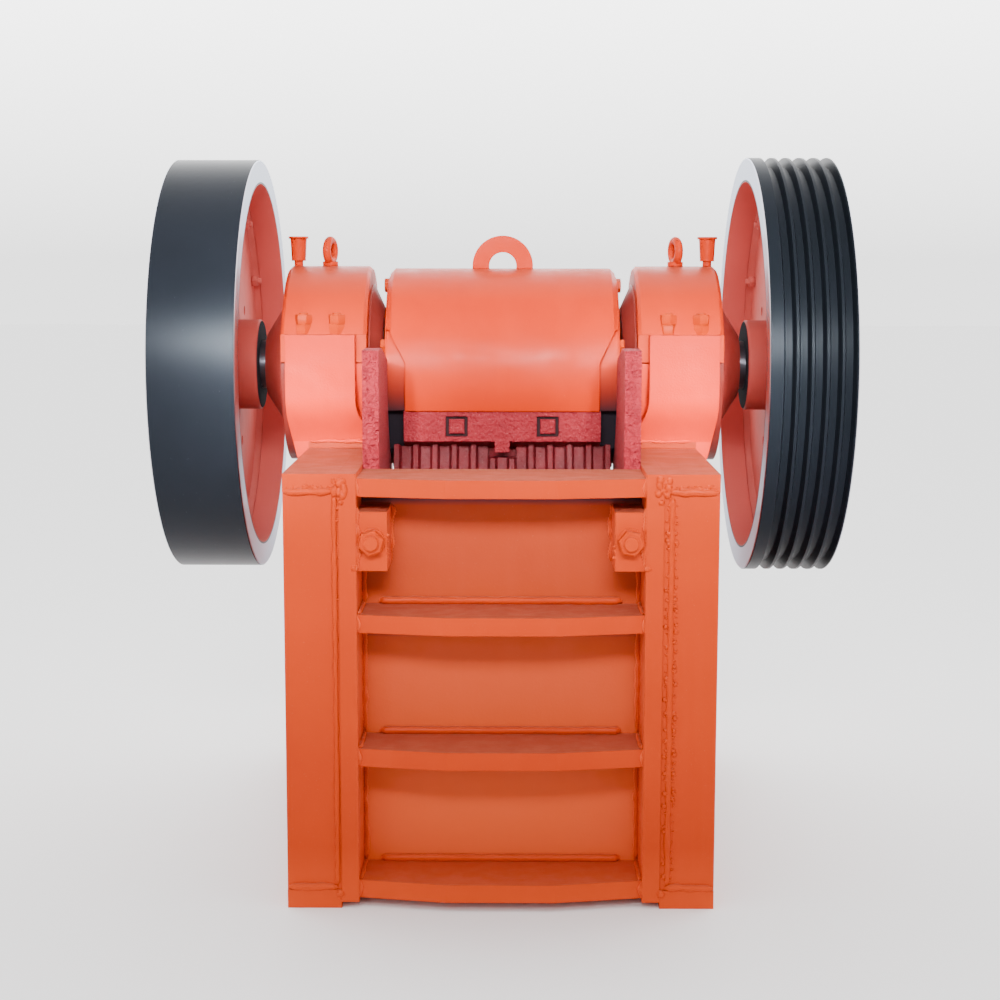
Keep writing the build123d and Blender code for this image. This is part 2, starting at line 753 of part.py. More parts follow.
# Wheel rims: a plain one for the flywheel, and one with V-belt grooves for the pulley
groove_edge = []
for index in range(groove_count):
    middle = wheel_inner_x + groove_first + index * groove_pitch
    groove_edge += [
        (middle - groove_top_width / 2, shaft_z + pulley_radius),
        (middle - groove_root_width / 2, shaft_z + pulley_radius - groove_depth),
        (middle + groove_root_width / 2, shaft_z + pulley_radius - groove_depth),
        (middle + groove_top_width / 2, shaft_z + pulley_radius),
    ]
wheel_outer_x = wheel_inner_x + wheel_width
wheels = {
    "flywheel": (-1, flywheel_radius, []),
    "pulley": (1, pulley_radius, groove_edge),
}
for name, (side, radius, rim_edge) in wheels.items():
    rim_inside = radius - rim_thickness
    with BuildPart() as wheel_rim:
        with BuildSketch(Plane.XZ.offset(-shaft_y)):
            Polygon(
                (side * wheel_inner_x, shaft_z + rim_inside),
                (side * wheel_inner_x, shaft_z + radius - rim_chamfer),
                (side * (wheel_inner_x + rim_chamfer), shaft_z + radius),
                *rim_edge,
                (side * (wheel_outer_x - rim_chamfer), shaft_z + radius),
                (side * wheel_outer_x, shaft_z + radius - rim_chamfer),
                (side * wheel_outer_x, shaft_z + rim_inside),
                align=None,
            )
        revolve(axis=shaft_axis)
    finish(wheel_rim, f"{name}_rim")

    # Web and hub, with a cast fillet where the web meets the rim
    web_inner_x = side * (wheel_inner_x + web_setback)
    web_outer_x = side * (wheel_inner_x + web_setback + web_thickness)
    hub_inner_x = side * (wheel_inner_x + hub_inset)
    hub_outer_x = side * (wheel_inner_x + hub_inset + hub_length)
    web_edge = shaft_z + rim_inside - seat_gap
    bore = shaft_z + shaft_end_radius + running_gap
    hub_edge = shaft_z + hub_radius
    with BuildPart() as wheel_web:
        with BuildSketch(Plane.XZ.offset(-shaft_y)):
            Polygon(
                (hub_inner_x, bore),
                (hub_inner_x, hub_edge - hub_chamfer),
                (hub_inner_x + side * hub_chamfer, hub_edge),
                (web_inner_x - side * web_fillet, hub_edge),
                (web_inner_x, hub_edge + web_fillet),
                (web_inner_x, web_edge - web_fillet),
                (web_inner_x - side * web_fillet, web_edge),
                (web_outer_x + side * web_fillet, web_edge),
                (web_outer_x, web_edge - web_fillet),
                (web_outer_x, hub_edge + web_fillet),
                (web_outer_x + side * web_fillet, hub_edge),
                (hub_outer_x - side * hub_chamfer, hub_edge),
                (hub_outer_x, hub_edge - hub_chamfer),
                (hub_outer_x, bore),
                align=None,
            )
        revolve(axis=shaft_axis)
        with BuildSketch(Plane.YZ.offset(web_inner_x)):
            with Locations((shaft_y, shaft_z)):
                with PolarLocations(web_hole_circle, web_hole_count, start_angle=web_hole_angle):
                    Circle(web_hole_radius)
        extrude(amount=side * web_thickness, mode=Mode.SUBTRACT)
    finish(wheel_web, f"{name}_web")

# Counterweights bolted to the webs' outer faces, opposite the shaft's offset
spread_start = 90 - counterweight_spread / 2
shaft_centre = (shaft_y, shaft_z)
with BuildPart() as counterweights:
    for side in sides.values():
        with BuildSketch(Plane.YZ.offset(side * (wheel_inner_x + web_setback + web_thickness))):
            with BuildLine():
                outer_arc = CenterArc(shaft_centre, counterweight_outer, spread_start, counterweight_spread)
                inner_arc = CenterArc(shaft_centre, counterweight_inner, spread_start, counterweight_spread)
                Line(outer_arc @ 0, inner_arc @ 0)
                Line(outer_arc @ 1, inner_arc @ 1)
            make_face()
        extrude(amount=side * counterweight_thickness)
finish(counterweights, "counterweights")

# Swing jaw casting: the barrel round the shaft and the jaw body below it
seat_top = behind_face(jaw_length, jaw_thickness)
seat_bottom = behind_face(0, jaw_thickness)
seat_low = behind_face(jaw_length - clamp_seat_drop, jaw_thickness)
jaw_seat_face_y = toggle_front[0] - toggle_thickness / 2 - open_pivot_gap + jaw_seat_groove
jaw_seat_y = jaw_seat_face_y - jaw_seat_depth
heel = (heel_y, jaw_plate_bottom - heel_drop)
back = math.radians(-back_angle)
back_y = shaft_y + (barrel_radius - back_inset) * math.cos(back)
back_z = eccentric_z + (barrel_radius - back_inset) * math.sin(back)
waist = (toggle_front[0] + waist_reach, toggle_front[1] + waist_rise)
seat_half = jaw_seat_height / 2
with BuildPart() as swing_jaw:
    with BuildSketch(Plane.YZ):
        with Locations((shaft_y, eccentric_z)):
            Circle(barrel_radius)
    extrude(amount=barrel_half, both=True)
    chamfer(swing_jaw.edges().filter_by(GeomType.CIRCLE), barrel_chamfer)
    # In front the shell narrows in two slopes, and only the round bosses keep the full width
    with BuildSketch(Plane.XZ.offset(-shaft_y)):
        for side in sides.values():
            Polygon(
                (side * shoulder_top_half_width, eccentric_z + shoulder_top_rise),
                (side * shoulder_foot_half_width, eccentric_z + shoulder_foot_rise),
                (side * shoulder_foot_half_width, eccentric_z - 2 * barrel_radius),
                (side * 2 * barrel_half, eccentric_z - 2 * barrel_radius),
                (side * 2 * barrel_half, eccentric_z + shoulder_top_rise),
                align=None,
            )
    extrude(amount=2 * barrel_radius, mode=Mode.SUBTRACT)
    with BuildSketch(Plane.YZ):
        with Locations((shaft_y, eccentric_z)):
            Circle(barrel_boss_radius)
    extrude(amount=barrel_half, both=True)
    # Jaw body, seen from the side
    with BuildSketch(Plane.YZ):
        Polygon(
            seat_bottom,
            seat_top,
            (shaft_y, eccentric_z),
            (back_y, back_z),
            waist,
            (jaw_seat_y, toggle_front[1] + seat_half),
            (jaw_seat_y, toggle_front[1] - seat_half),
            heel,
            align=None,
        )
    extrude(amount=jaw_half_width, both=True)
    # Pockets in the back, between upright ribs
    pocket_width = (2 * jaw_half_width - jaw_rib_count * jaw_rib_thickness) / (jaw_rib_count - 1)
    pocket_low = behind_face(pocket_floor_rise, jaw_thickness + jaw_wall)
    pocket_high = behind_face(jaw_length, jaw_thickness + jaw_wall)
    for index in range(jaw_rib_count - 1):
        pocket_x = jaw_rib_thickness + index * (pocket_width + jaw_rib_thickness) - jaw_half_width
        with BuildSketch(Plane.YZ.offset(pocket_x)):
            Polygon(pocket_low, pocket_high, (back_y, pocket_high[1]), (back_y, pocket_low[1]), align=None)
            with Locations((shaft_y, eccentric_z)):
                Circle(barrel_radius, mode=Mode.SUBTRACT)
        extrude(amount=pocket_width, mode=Mode.SUBTRACT)
    # Flat seat for the clamp bar across the barrel's front
    with BuildSketch(Plane.YZ):
        Polygon(
            seat_top,
            (clamp_back_top_y, clamp_top),
            (clamp_back_top_y - clamp_seat_reach, clamp_top),
            (clamp_back_top_y - clamp_seat_reach, seat_low[1]),
            seat_low,
            align=None,
        )
    extrude(amount=barrel_half, both=True, mode=Mode.SUBTRACT)
    with BuildSketch(Plane.YZ):
        with Locations((shaft_y, eccentric_z)):
            Circle(eccentric_radius + running_gap)
    extrude(amount=barrel_half, both=True, mode=Mode.SUBTRACT)
finish(swing_jaw, "swing_jaw")

# End covers on the barrel: a thin flange with a raised hub
with BuildPart() as swing_covers:
    for side in sides.values():
        with BuildSketch(Plane.YZ.offset(side * barrel_half)):
            with Locations((shaft_y, eccentric_z)):
                Circle(barrel_boss_radius)
                Circle(eccentric_radius + cover_side_gap, mode=Mode.SUBTRACT)
        extrude(amount=side * swing_cover_thickness)
    outer_edges = swing_covers.edges().filter_by(GeomType.CIRCLE).group_by(Axis.X)
    chamfer((outer_edges[0] + outer_edges[-1]).group_by(SortBy.RADIUS)[-1], swing_cover_chamfer)
    for side in sides.values():
        with BuildSketch(Plane.YZ.offset(side * (barrel_half + swing_cover_thickness))):
            with Locations((shaft_y, eccentric_z)):
                Circle(swing_cover_hub_radius)
                Circle(eccentric_radius + cover_side_gap, mode=Mode.SUBTRACT)
        extrude(amount=side * swing_cover_hub_height)
finish(swing_covers, "swing_covers")

# Lifting eye on top of the barrel
with BuildPart() as lifting_eye:
    with BuildSketch(Plane.XZ.offset(-shaft_y)):
        with Locations((0, barrel_top + lug_rise)):
            Circle(lug_radius)
            Circle(lug_hole_radius, mode=Mode.SUBTRACT)
    extrude(amount=lug_thickness / 2, both=True)
    with BuildSketch(Plane.YZ):
        with Locations((shaft_y, eccentric_z)):
            Circle(barrel_radius)
        with Locations((shaft_y, barrel_top - lug_radius)):
            Rectangle(2 * lug_thickness, 2 * lug_radius - lug_thickness)
    extrude(amount=2 * lug_radius, both=True, mode=Mode.SUBTRACT)
finish(lifting_eye, "lifting_eye")

# Moving jaw plate, notched at the top for the clamp bar's tab
face_y, face_z = behind_face(0, tooth_height)
moving_outline = tooth_profile(jaw_plate_width / 2, jaw_plate_backing, tooth_count, tooth_pitch)
with BuildPart() as moving_jaw_plate:
    with BuildSketch(Plane(origin=(0, face_y, face_z), x_dir=(-1, 0, 0), z_dir=jaw_up)):
        Polygon(*moving_outline, align=None)
    extrude(amount=jaw_length)
    with BuildSketch(Plane.XZ.offset(-jaw_top_y)):
        with Locations((0, jaw_plate_top)):
            Rectangle(clamp_notch_width, 2 * clamp_notch_depth)
    extrude(amount=2 * tooth_height, both=True, mode=Mode.SUBTRACT)
finish(moving_jaw_plate, "moving_jaw_plate")

# Clamp bar that holds the moving jaw plate down, with two square bolt pockets
tab_top = clamp_bottom + clamp_tab_root
with BuildPart() as clamp_bar:
    with BuildSketch(Plane.YZ):
        Polygon(
            (clamp_front_y, clamp_bottom),
            (clamp_front_y, clamp_top),
            (clamp_back_top_y, clamp_top),
            seat_top,
            align=None,
        )
    extrude(amount=clamp_half_width, both=True)
    with BuildSketch(Plane.XZ.offset(-clamp_front_y)):
        with Locations((0, tab_top - (clamp_tab_height + clamp_tab_root) / 2)):
            Rectangle(clamp_tab_width, clamp_tab_height + clamp_tab_root)
    extrude(amount=-clamp_tab_thickness)
    with BuildSketch(Plane.XZ.offset(-clamp_front_y)):
        with Locations((0, shaft_z - clamp_bolt_drop)):
            with GridLocations(2 * clamp_bolt_x, 0, 2, 1):
                Rectangle(clamp_recess_width, clamp_recess_height)
    extrude(amount=-clamp_recess_depth, mode=Mode.SUBTRACT)
finish(clamp_bar, "clamp_bar")

# Toggle seat on the swing jaw, grooved like the one on the frame
with BuildPart() as jaw_toggle_seat:
    with BuildSketch(Plane.YZ):
        with Locations((jaw_seat_y + jaw_seat_depth / 2, toggle_front[1])):
            Rectangle(jaw_seat_depth, jaw_seat_height)
        with Locations((jaw_seat_face_y + jaw_seat_groove_radius - jaw_seat_groove, toggle_front[1])):
            Circle(jaw_seat_groove_radius, mode=Mode.SUBTRACT)
    extrude(amount=toggle_half_width + seat_overhang, both=True)
finish(jaw_toggle_seat, "jaw_toggle_seat")

# Two ears under the swing jaw and the pin through them
with BuildPart() as rod_ears:
    for side in sides.values():
        with BuildSketch(Plane.YZ.offset(side * ear_inner_x)):
            with Locations((rod_y, pin_z)):
                Circle(ear_radius)
            Polygon(
                (rod_y - ear_radius, pin_z),
                (seat_bottom[0] + ear_root_reach, seat_bottom[1]),
                heel,
                (rod_y + ear_radius, pin_z),
                align=None,
            )
            with Locations((rod_y, pin_z)):
                Circle(pin_radius + running_gap, mode=Mode.SUBTRACT)
            Polygon(
                seat_bottom,
                heel,
                (heel[0], seat_bottom[1] + ear_radius),
                (seat_bottom[0], seat_bottom[1] + ear_radius),
                align=None,
                mode=Mode.SUBTRACT,
            )
        extrude(amount=side * ear_thickness)
finish(rod_ears, "rod_ears")

with BuildPart() as rod_pin:
    with BuildSketch(Plane.YZ):
        with Locations((rod_y, pin_z)):
            Circle(pin_radius)
    extrude(amount=ear_inner_x + ear_thickness + pin_overhang, both=True)
finish(rod_pin, "rod_pin")

# Tension rod: its eye goes round the pin with room for the jaw's travel
washer_y = rear_wall_y + rear_wall_thickness
spring_y = washer_y + washer_thickness
nut_y = spring_y + spring_length + washer_thickness
rod_end_y = nut_y + 2 * rod_nut_height + rod_tail
eye_radius = pin_radius + eccentricity + travel_clearance
rod_root_y = rod_y + eye_radius + rod_eye_wall / 2
with BuildPart() as tension_rod:
    with BuildSketch(Plane.YZ):
        with Locations((rod_y, rod_z)):
            Circle(eye_radius + rod_eye_wall)
            Circle(eye_radius, mode=Mode.SUBTRACT)
    extrude(amount=rod_eye_thickness / 2, both=True)
    with BuildSketch(Plane.XZ.offset(-rod_root_y)):
        with Locations((0, rod_z)):
            Circle(rod_radius)
    extrude(amount=-(rod_end_y - rod_root_y))
finish(tension_rod, "tension_rod")

# Spring: a coil whose end turns are ground flat against its two washers
coil_points = []
for index in range(spring_turns * spring_turn_steps + 1):
    turned = index / spring_turn_steps
    angle = math.radians(360 * turned)
    across = spring_coil_radius * math.cos(angle)
    up = spring_coil_radius * math.sin(angle)
    coil_points.append((across, spring_y + spring_length * turned / spring_turns, rod_z + up))
with BuildPart() as tension_spring:
    with BuildLine() as coil:
        Polyline(*coil_points)
    with BuildSketch(Plane(coil.line @ 0, z_dir=coil.line % 0)):
        Circle(spring_wire_radius)
    sweep(path=coil.line, transition=Transition.RIGHT)
    with BuildSketch(Plane.XZ.offset(-spring_y)):
        with Locations((0, rod_z)):
            Circle(washer_radius)
    extrude(amount=-spring_length, mode=Mode.INTERSECT)
finish(tension_spring, "tension_spring")

with BuildPart() as spring_washers:
    for start_y in (washer_y, spring_y + spring_length):
        with BuildSketch(Plane.XZ.offset(-start_y)):
            with Locations((0, rod_z)):
                Circle(washer_radius)
                Circle(rod_radius + washer_bore_gap, mode=Mode.SUBTRACT)
        extrude(amount=-washer_thickness)
finish(spring_washers, "spring_washers")

with BuildPart() as rod_nuts:
    with BuildSketch(Plane.XZ.offset(-nut_y)):
        with Locations((0, rod_z)):
            RegularPolygon(rod_nut_flats / 2, 6, major_radius=False)
            Circle(rod_radius + running_gap, mode=Mode.SUBTRACT)
    extrude(amount=-2 * rod_nut_height)
finish(rod_nuts, "rod_nuts")
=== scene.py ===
import bpy
import math
import random
from mathutils import Matrix, Vector, noise


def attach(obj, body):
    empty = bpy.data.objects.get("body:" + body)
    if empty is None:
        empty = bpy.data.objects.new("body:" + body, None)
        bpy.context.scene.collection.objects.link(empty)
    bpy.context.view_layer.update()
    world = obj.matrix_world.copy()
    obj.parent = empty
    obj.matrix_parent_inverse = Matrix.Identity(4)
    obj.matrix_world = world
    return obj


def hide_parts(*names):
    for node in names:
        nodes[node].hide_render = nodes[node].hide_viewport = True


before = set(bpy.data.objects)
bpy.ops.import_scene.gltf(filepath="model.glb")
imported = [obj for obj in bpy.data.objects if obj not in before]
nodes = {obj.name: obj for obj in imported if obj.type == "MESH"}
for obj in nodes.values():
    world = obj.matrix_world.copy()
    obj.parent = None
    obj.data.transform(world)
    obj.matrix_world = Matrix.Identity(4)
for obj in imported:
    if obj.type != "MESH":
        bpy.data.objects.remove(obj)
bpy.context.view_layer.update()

# The camera stands in front of the front wall, at about the height of the swing jaw's barrel,
# and looks slightly down, as in the photograph. Its place was worked out from the frame's corners.
camera_place = Vector((0.0113, -3.2867, 1.0369))
camera_pitch = math.radians(7.598)
camera_turn = 0.0047
camera_roll = 0.0015
camera = bpy.data.objects.new("camera", bpy.data.cameras.new("camera"))
bpy.context.scene.collection.objects.link(camera)
camera.data.sensor_width = 36.0
camera.data.lens = 65.35
camera.data.clip_start = 0.1
camera.data.clip_end = 60.0
aim = Matrix.Rotation(camera_turn, 4, "Z") @ Matrix.Rotation(math.pi / 2 - camera_pitch, 4, "X")
camera.matrix_world = Matrix.Translation(camera_place) @ aim @ Matrix.Rotation(camera_roll, 4, "Z")
bpy.context.scene.camera = camera

# A plain pale floor in a soft white room. The room is brightest behind the machine, as a lit
# backdrop is, so upper edges shine white. A broad light hangs above, and two upright soft boxes
# stand in front, where the wheels and the castings mirror them.
floor_half = 25.0
floor_mesh = bpy.data.meshes.new("studio_floor")
floor_corners = [(-floor_half, -floor_half, 0), (floor_half, -floor_half, 0)]
floor_corners += [(floor_half, floor_half, 0), (-floor_half, floor_half, 0)]
floor_mesh.from_pydata(floor_corners, [], [(0, 1, 2, 3)])
studio_floor = bpy.data.objects.new("studio_floor", floor_mesh)
bpy.context.scene.collection.objects.link(studio_floor)
floor_paint = bpy.data.materials.new("pale_floor")
floor_paint.use_nodes = True
floor_shader = floor_paint.node_tree.nodes["Principled BSDF"]
floor_shader.inputs["Base Color"].default_value = (0.94, 0.94, 0.94, 1)
floor_shader.inputs["Roughness"].default_value = 0.9
floor_shader.inputs["Specular IOR Level"].default_value = 0.1
floor_mesh.materials.append(floor_paint)

room = bpy.data.worlds.new("studio_room")
bpy.context.scene.world = room
room.use_nodes = True
room_nodes = room.node_tree.nodes
room_links = room.node_tree.links
room_point = room_nodes.new("ShaderNodeTexCoord")
room_axes = room_nodes.new("ShaderNodeSeparateXYZ")
room_links.new(room_point.outputs["Generated"], room_axes.inputs["Vector"])
rear_strength = room_nodes.new("ShaderNodeMapRange")
room_links.new(room_axes.outputs["Z"], rear_strength.inputs["Value"])
rear_strength.inputs["From Min"].default_value = 0.0
rear_strength.inputs["From Max"].default_value = 0.2
rear_strength.inputs["To Min"].default_value = 2.42
rear_strength.inputs["To Max"].default_value = 6.3
room_strength = room_nodes.new("ShaderNodeMapRange")
room_links.new(room_axes.outputs["Y"], room_strength.inputs["Value"])
room_strength.inputs["From Min"].default_value = -0.3
room_strength.inputs["From Max"].default_value = 0.5
room_strength.inputs["To Min"].default_value = 1.05
overhead = room_nodes.new("ShaderNodeMapRange")
room_links.new(room_axes.outputs["Z"], overhead.inputs["Value"])
overhead.inputs["From Min"].default_value = 0.3
overhead.inputs["From Max"].default_value = 0.8
overhead.inputs["To Min"].default_value = 1.0
overhead.inputs["To Max"].default_value = 0.45
rear_light = room_nodes.new("ShaderNodeMath")
rear_light.operation = "MULTIPLY"
room_links.new(rear_strength.outputs["Result"], rear_light.inputs[0])
room_links.new(overhead.outputs["Result"], rear_light.inputs[1])
room_links.new(rear_light.outputs["Value"], room_strength.inputs["To Max"])
room_links.new(room_strength.outputs["Result"], room_nodes["Background"].inputs["Strength"])
room_nodes["Background"].inputs["Color"].default_value = (1.0, 1.0, 1.0, 1)


def soft_box(name, place, target, size, watts, tint=(1.0, 1.0, 1.0), spread=180.0):
    lamp = bpy.data.lights.new(name, "AREA")
    lamp.shape = "RECTANGLE"
    lamp.size, lamp.size_y = size
    lamp.energy = watts
    lamp.color = tint
    lamp.spread = math.radians(spread)
    stand = bpy.data.objects.new(name, lamp)
    bpy.context.scene.collection.objects.link(stand)
    stand.location = place
    stand.rotation_euler = (Vector(target) - Vector(place)).to_track_quat("-Z", "Y").to_euler()


soft_box("light_above", (0.0, -1.3, 3.4), (0, 0, 0.7), (3.0, 1.6), 21)
soft_box("light_upper", (0.0, -2.6, 1.75), (0, -0.1, 0.88), (1.6, 0.4), 16, spread=45.0)
soft_box("light_front_left", (-1.5, -3.6, 1.36), (-0.45, 0, 0.85), (0.6, 0.5), 15, (0.88, 0.95, 1.0))
soft_box("light_front_right", (1.5, -3.6, 1.30), (0.45, 0, 0.85), (0.6, 0.5), 2.6, (0.88, 0.95, 1.0))
soft_box("light_housing_left", (-0.75, -2.6, 1.5), (-0.33, -0.11, 0.77), (0.2, 0.2), 1.0, spread=9.0)
soft_box("light_housing_right", (0.75, -2.6, 1.5), (0.33, -0.11, 0.77), (0.2, 0.2), 1.0, spread=9.0)

# The frame is welded up from thick rolled plate and sprayed with orange machine enamel. The enamel
# lies in slightly uneven coats, with a fine orange peel, over the plate's shallow waves.


def node_of(material, kind, **inputs):
    """Adds a shader node and sets its sockets: numbers and colours by value, sockets by a link."""
    node = material.node_tree.nodes.new(kind)
    for key, value in inputs.items():
        numbered = key[0] == "n" and key[1:].isdigit()
        socket = node.inputs[int(key[1:])] if numbered else node.inputs[key.replace("_", " ")]
        if isinstance(value, bpy.types.NodeSocket):
            material.node_tree.links.new(value, socket)
        else:
            socket.default_value = value
    return node


def reckon(material, operation, first, second=0.0):
    """One step of arithmetic on sockets or numbers."""
    step = node_of(material, "ShaderNodeMath", n0=first, n1=second)
    step.operation = operation
    return step.outputs[0]


def ramp(material, value, start, end, low=0.0, high=1.0):
    """Goes from low to high while the value goes from start to end."""
    limits = {"From_Min": start, "From_Max": end, "To_Min": low, "To_Max": high}
    return node_of(material, "ShaderNodeMapRange", Value=value, **limits).outputs["Result"]


def facing(material, axis):
    """How far a face looks along one of the three axes, from -1 to 1."""
    normal = node_of(material, "ShaderNodeNewGeometry").outputs["Normal"]
    return node_of(material, "ShaderNodeSeparateXYZ", Vector=normal).outputs[axis]


def blotches(material, scale, low=0.35, high=0.65, detail=4.0, stretch=(1.0, 1.0, 1.0)):
    """A soft mask of patches from 0 to 1, scale patches to the metre, which turns with the piece."""
    point = node_of(material, "ShaderNodeTexCoord").outputs["Object"]
    stretched = node_of(material, "ShaderNodeVectorMath", n0=point, n1=stretch)
    stretched.operation = "MULTIPLY"
    patches = node_of(material, "ShaderNodeTexNoise", Vector=stretched.outputs[0], Scale=scale)
    patches.inputs["Detail"].default_value = detail
    patches.inputs["Roughness"].default_value = 0.6
    return ramp(material, patches.outputs["Fac"], low, high)


def mixed(material, mask, first, second):
    """One colour or the other by the mask; each may be a socket."""
    mix = material.node_tree.nodes.new("ShaderNodeMix")
    mix.data_type = "RGBA"
    for socket, value in ((mix.inputs[0], mask), (mix.inputs[6], first), (mix.inputs[7], second)):
        if isinstance(value, bpy.types.NodeSocket):
            material.node_tree.links.new(value, socket)
        else:
            socket.default_value = value if isinstance(value, (int, float)) else (*value, 1)
    return mix.outputs[2]


def relief(material, shader, soft_edge, layers):
    """Rounds sharp edges by soft_edge metres and lays bumps on them: (height mask, depth, strength)."""
    normal = node_of(material, "ShaderNodeBevel", Radius=soft_edge).outputs["Normal"]
    for height, depth, strength in layers:
        bump = node_of(material, "ShaderNodeBump", Height=height, Distance=depth, Normal=normal)
        bump.inputs["Strength"].default_value = strength
        normal = bump.outputs["Normal"]
    material.node_tree.links.new(normal, shader.inputs["Normal"])


def new_paint(name, shine=0.10):
    """An empty paint with its shader; shine is the height of its gloss."""
    material = bpy.data.materials.new(name)
    material.use_nodes = True
    shader = material.node_tree.nodes["Principled BSDF"]
    shader.inputs["Specular IOR Level"].default_value = shine
    return material, shader


def enamel(name, paint, deep, gloss=0.42, waves=0.004, peel=0.3, edge=0.002, dust_and_sheen=0.6):
    """Sprayed machine enamel: two near tones in patches, thin runs, a fine peel, waves below it, and a greyer
    tone on the faces that look up, partly pale dust and partly painted light, the grey sheen of the bright
    room above."""
    material, shader = new_paint(name)
    tone = mixed(material, blotches(material, 5.0, 0.3, 0.7), paint, deep)
    runs = blotches(material, 16.0, 0.5, 0.78, 3.0, (1.0, 1.0, 0.1))
    lighter = tuple(min(1.0, c * 1.08 + 0.004) for c in paint)
    tone = mixed(material, reckon(material, "MULTIPLY", runs, 0.4), tone, lighter)
    dust = blotches(material, 420.0, 0.68, 0.78, 2.0)
    tone = mixed(material, reckon(material, "MULTIPLY", dust, 0.15), tone, (0.60, 0.26, 0.18))
    # Faces that look up turn greyer: partly pale dust, partly painted light standing for the room's grey
    # sheen on them.
    level_dust_and_sheen = ramp(material, facing(material, "Z"), 0.7, 1.0, 0.0, dust_and_sheen)
    tone = mixed(material, level_dust_and_sheen, tone, (0.27, 0.088, 0.056))
    material.node_tree.links.new(tone, shader.inputs["Base Color"])
    sheen = ramp(material, blotches(material, 22.0), 0.0, 1.0, gloss - 0.06, gloss + 0.1)
    material.node_tree.links.new(sheen, shader.inputs["Roughness"])
    wavy = blotches(material, 9.0, 0.2, 0.8, 2.0)
    fine = blotches(material, 300.0, 0.2, 0.8, 3.0)
    relief(material, shader, edge, ((wavy, waves, 0.35), (fine, 0.0005, peel)))
    return material


def dress(node_name, material):
    """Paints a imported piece."""
    surface = nodes[node_name].data
    surface.materials.clear()
    surface.materials.append(material)


frame_tones = ((0.44, 0.032, 0.0), (0.40, 0.0275, 0.0))
frame_orange = enamel("frame_orange", *frame_tones)
for name in ("left_side_plate", "right_side_plate", "top_flanges", "feet", "front_posts", "side_ribs"):
    dress(name, frame_orange)
for name in ("rear_posts", "rear_ribs", "rear_wall", "guide_bars"):
    dress(name, frame_orange)

# The front wall is stiffened by four shelf ribs. The bays between them are duller. The lower bays, the
# frame's foot and the side faces in the bays are painted paler, as painted light thrown back from the floor
# and the bays, and a strip close under each of the top three ribs is painted dark, as the rib's painted
# shadow. Blocks in the upper corners take the fixed jaw plate's bolts.
rib_pitch, rib_thickness = 0.217, 0.029
rib_tops = [0.695 - rib_pitch * k for k in range(4)]
bay_orange = enamel("bay_orange", (0.36, 0.038, 0.007), (0.32, 0.032, 0.006), 0.45, 0.006)


def places(material):
    """Three sockets: the distance to either side of the machine's middle, and the Y and Z places."""
    point = node_of(material, "ShaderNodeTexCoord").outputs["Object"]
    axes = node_of(material, "ShaderNodeSeparateXYZ", Vector=point)
    return reckon(material, "ABSOLUTE", axes.outputs["X"]), axes.outputs["Y"], axes.outputs["Z"]


def overpaint(material, mask, paint):
    """Lays another colour over a finished paint where the mask is 1."""
    shader = material.node_tree.nodes["Principled BSDF"]
    under = shader.inputs["Base Color"].links[0].from_socket
    material.node_tree.links.new(mixed(material, mask, under, paint), shader.inputs["Base Color"])


def turned_sideways(material):
    """A mask that is 1 on faces that look to either side."""
    return ramp(material, reckon(material, "ABSOLUTE", facing(material, "X")), 0.5, 0.9)


# The side plates' faces that look into the bays are painted paler: painted light, thrown back from the bays.
sideways, along, above = places(frame_orange)
between_posts = reckon(frame_orange, "LESS_THAN", sideways, 0.232)
before_wall = reckon(frame_orange, "LESS_THAN", along, -0.36)
bay_side_light = reckon(frame_orange, "MULTIPLY", between_posts, turned_sideways(frame_orange))
bay_side_light = reckon(frame_orange, "MULTIPLY", bay_side_light, before_wall)
overpaint(frame_orange, bay_side_light, (0.72, 0.092, 0.026))
# The frame is painted paler close to the floor: painted light thrown up from the floor.
floor_light = reckon(frame_orange, "MULTIPLY", ramp(frame_orange, above, 0.10, 0.0), 0.6)
overpaint(frame_orange, floor_light, (0.72, 0.072, 0.008))
sideways, along, above = places(bay_orange)
# The front wall is painted paler towards the bottom: painted light, which makes the lower bays as bright as
# the upper ones.
overpaint(bay_orange, ramp(bay_orange, above, 0.55, 0.05), (0.62, 0.080, 0.016))
# A strip close under each of the top three ribs is painted dark: the rib's painted shadow.
for rib_top in rib_tops[:3]:
    rib_shadow_strip = ramp(bay_orange, above, rib_top - 0.056, rib_top - 0.045)
    below_rib = reckon(bay_orange, "LESS_THAN", above, rib_top - 0.010)
    overpaint(bay_orange, reckon(bay_orange, "MULTIPLY", rib_shadow_strip, below_rib), (0.075, 0.022, 0.034))
dress("front_wall", bay_orange)
dress("front_ribs", frame_orange)
dress("corner_brackets", frame_orange)

# The weld beads are tubes of paint-covered weld metal: rippled where each drop froze, thicker and
# thinner along their length, and with drops beside them. They lie half in the plates that they join.


